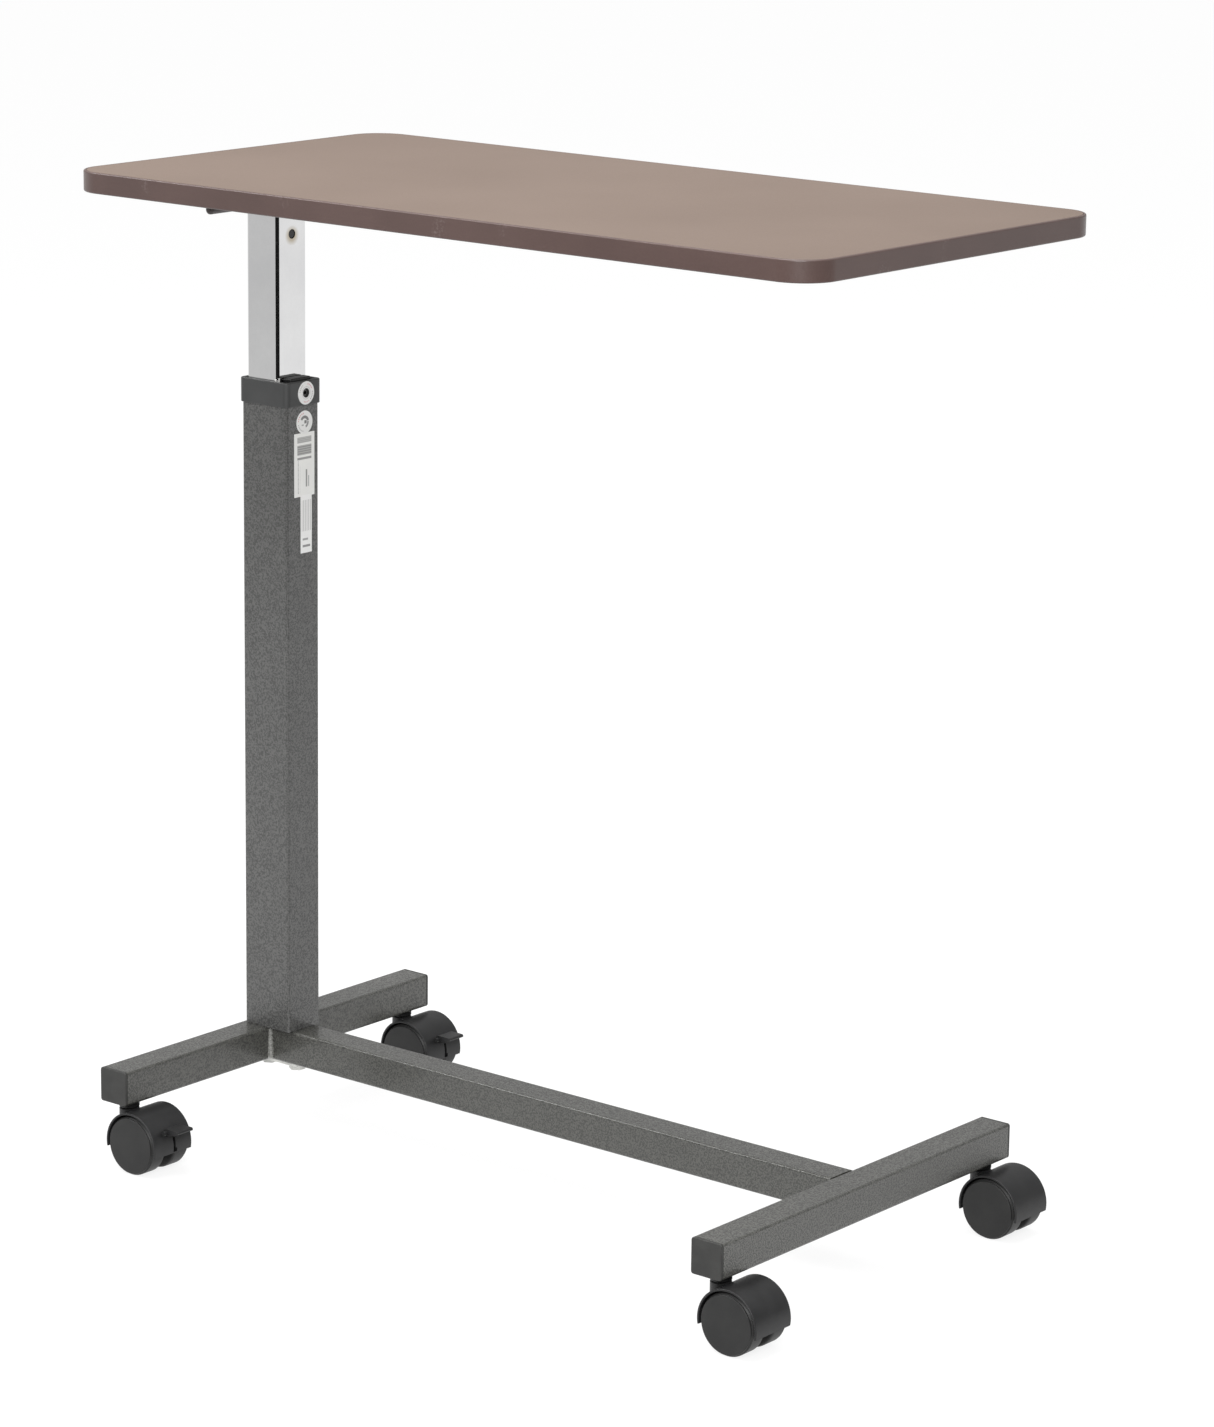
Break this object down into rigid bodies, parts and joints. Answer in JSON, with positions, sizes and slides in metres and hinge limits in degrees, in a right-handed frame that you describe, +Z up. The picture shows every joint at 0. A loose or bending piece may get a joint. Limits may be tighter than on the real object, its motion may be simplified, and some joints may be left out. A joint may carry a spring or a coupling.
{
  "type": "overbed table",
  "caption": "Height-adjustable overbed table: laminated top cantilevered from a telescopic column on an H-shaped tube base with swivelling twin-wheel castors.",
  "frame": {"origin": "on the floor, under the middle of the tabletop", "axes": "+X along the tabletop away from the column, +Y across it, +Z up"},
  "size_m": [0.762, 0.3984, 0.8525],
  "materials": {
    "laminate": "matte taupe laminate",
    "board": "raw particle board",
    "backer": "matte backer sheet",
    "edge_band": "semi-gloss dark brown vinyl",
    "painted_steel": "dark grey hammertone powder coat",
    "chrome": "polished chrome plate",
    "black_plastic": "fine moulded texture",
    "wheel_tread": "matte moulded nylon",
    "zinc": "zinc plated",
    "dark_steel": "black painted steel",
    "bright_rod": "ground and plated rod"
  },
  "bodies": {
    "base": {"rear_cross_tube": "painted_steel", "front_cross_tube": "painted_steel", "spine_tube": "painted_steel", "rear_near_end_cap": "black_plastic", "rear_far_end_cap": "black_plastic", "front_near_end_cap": "black_plastic", "front_far_end_cap": "black_plastic", "rear_near_socket": "black_plastic", "rear_far_socket": "black_plastic", "front_near_socket": "black_plastic", "front_far_socket": "black_plastic", "bolt_plate": "zinc", "rear_bolt": "zinc", "spine_bolt": "zinc", "column_foot_block": "dark_steel", "outer_column": "painted_steel", "column_collar": "black_plastic", "mast_guide_block": "black_plastic", "guide_screw": "dark_steel", "piston_rod": "bright_rod"},
    "mast": {"inner_mast": "chrome", "mast_foot_guide": "black_plastic", "gas_spring_top_pin": "dark_steel", "gas_spring_cylinder": "dark_steel", "gas_spring_gland": "dark_steel", "support_channel": "dark_steel", "channel_screw_1": "zinc", "channel_screw_2": "zinc", "channel_screw_3": "zinc", "channel_screw_4": "zinc", "lever_bracket": "zinc", "lever_pivot_pin": "zinc", "tabletop_backer": "backer", "tabletop_core": "board", "tabletop_laminate": "laminate", "edge_band": "edge_band"},
    "release_lever": {"release_lever": "dark_steel"},
    "release_pin": {"release_pin": "bright_rod"},
    "rear_near_castor": {"rear_near_hood": "black_plastic", "rear_near_stem": "zinc", "rear_near_axle": "zinc"},
    "rear_near_near_wheel": {"rear_near_near_wheel": "wheel_tread"},
    "rear_near_far_wheel": {"rear_near_far_wheel": "wheel_tread"},
    "rear_near_brake": {"rear_near_brake_pedal": "black_plastic"},
    "rear_far_castor": {"rear_far_hood": "black_plastic", "rear_far_stem": "zinc", "rear_far_axle": "zinc"},
    "rear_far_near_wheel": {"rear_far_near_wheel": "wheel_tread"},
    "rear_far_far_wheel": {"rear_far_far_wheel": "wheel_tread"},
    "rear_far_brake": {"rear_far_brake_pedal": "black_plastic"},
    "front_near_castor": {"front_near_hood": "black_plastic", "front_near_stem": "zinc", "front_near_axle": "zinc"},
    "front_near_near_wheel": {"front_near_near_wheel": "wheel_tread"},
    "front_near_far_wheel": {"front_near_far_wheel": "wheel_tread"},
    "front_far_castor": {"front_far_hood": "black_plastic", "front_far_stem": "zinc", "front_far_axle": "zinc"},
    "front_far_near_wheel": {"front_far_near_wheel": "wheel_tread"},
    "front_far_far_wheel": {"front_far_far_wheel": "wheel_tread"}
  },
  "joints": [
    {"name": "mast_slide", "type": "slide", "parent": "base", "child": "mast", "axis": [0, 0, 1], "range_m": [-0.14, 0.29]},
    {"name": "release_lever_hinge", "type": "hinge", "parent": "mast", "child": "release_lever", "pos_m": [-0.29475, 0, 0.826], "axis": [0, -1, 0], "range_deg": [0, 7], "stiffness_Nm_per_rad": 0.4, "springref_deg": -5.73},
    {"name": "release_pin_slide", "type": "slide", "parent": "mast", "child": "release_pin", "axis": [0, 0, -1], "range_m": [0, 0.0042]},
    {"name": "rear_near_swivel", "type": "hinge", "parent": "base", "child": "rear_near_castor", "pos_m": [-0.3365, -0.1755, 0.03], "axis": [0, 0, 1], "continuous": true},
    {"name": "rear_near_near_wheel_spin", "type": "hinge", "parent": "rear_near_castor", "child": "rear_near_near_wheel", "pos_m": [-0.3135, -0.1755, 0.0255], "axis": [0, 1, 0], "continuous": true},
    {"name": "rear_near_far_wheel_spin", "type": "hinge", "parent": "rear_near_castor", "child": "rear_near_far_wheel", "pos_m": [-0.3135, -0.1755, 0.0255], "axis": [0, 1, 0], "continuous": true},
    {"name": "rear_near_brake_hinge", "type": "hinge", "parent": "rear_near_castor", "child": "rear_near_brake", "pos_m": [-0.28392, -0.1755, 0.04057], "axis": [0, 1, 0], "range_deg": [0, 20]},
    {"name": "rear_far_swivel", "type": "hinge", "parent": "base", "child": "rear_far_castor", "pos_m": [-0.3365, 0.1755, 0.03], "axis": [0, 0, 1], "continuous": true},
    {"name": "rear_far_near_wheel_spin", "type": "hinge", "parent": "rear_far_castor", "child": "rear_far_near_wheel", "pos_m": [-0.3135, 0.1755, 0.0255], "axis": [0, 1, 0], "continuous": true},
    {"name": "rear_far_far_wheel_spin", "type": "hinge", "parent": "rear_far_castor", "child": "rear_far_far_wheel", "pos_m": [-0.3135, 0.1755, 0.0255], "axis": [0, 1, 0], "continuous": true},
    {"name": "rear_far_brake_hinge", "type": "hinge", "parent": "rear_far_castor", "child": "rear_far_brake", "pos_m": [-0.28392, 0.1755, 0.04057], "axis": [0, 1, 0], "range_deg": [0, 20]},
    {"name": "front_near_swivel", "type": "hinge", "parent": "base", "child": "front_near_castor", "pos_m": [0.306, -0.1755, 0.03], "axis": [0, 0, 1], "continuous": true},
    {"name": "front_near_near_wheel_spin", "type": "hinge", "parent": "front_near_castor", "child": "front_near_near_wheel", "pos_m": [0.329, -0.1755, 0.0255], "axis": [0, 1, 0], "continuous": true},
    {"name": "front_near_far_wheel_spin", "type": "hinge", "parent": "front_near_castor", "child": "front_near_far_wheel", "pos_m": [0.329, -0.1755, 0.0255], "axis": [0, 1, 0], "continuous": true},
    {"name": "front_far_swivel", "type": "hinge", "parent": "base", "child": "front_far_castor", "pos_m": [0.306, 0.1755, 0.03], "axis": [0, 0, 1], "continuous": true},
    {"name": "front_far_near_wheel_spin", "type": "hinge", "parent": "front_far_castor", "child": "front_far_near_wheel", "pos_m": [0.329, 0.1755, 0.0255], "axis": [0, 1, 0], "continuous": true},
    {"name": "front_far_far_wheel_spin", "type": "hinge", "parent": "front_far_castor", "child": "front_far_far_wheel", "pos_m": [0.329, 0.1755, 0.0255], "axis": [0, 1, 0], "continuous": true}
  ],
  "couplings": [
    {"joint": "release_pin_slide", "follows": "release_lever_hinge", "m_per_rad": 0.0336}
  ]
}
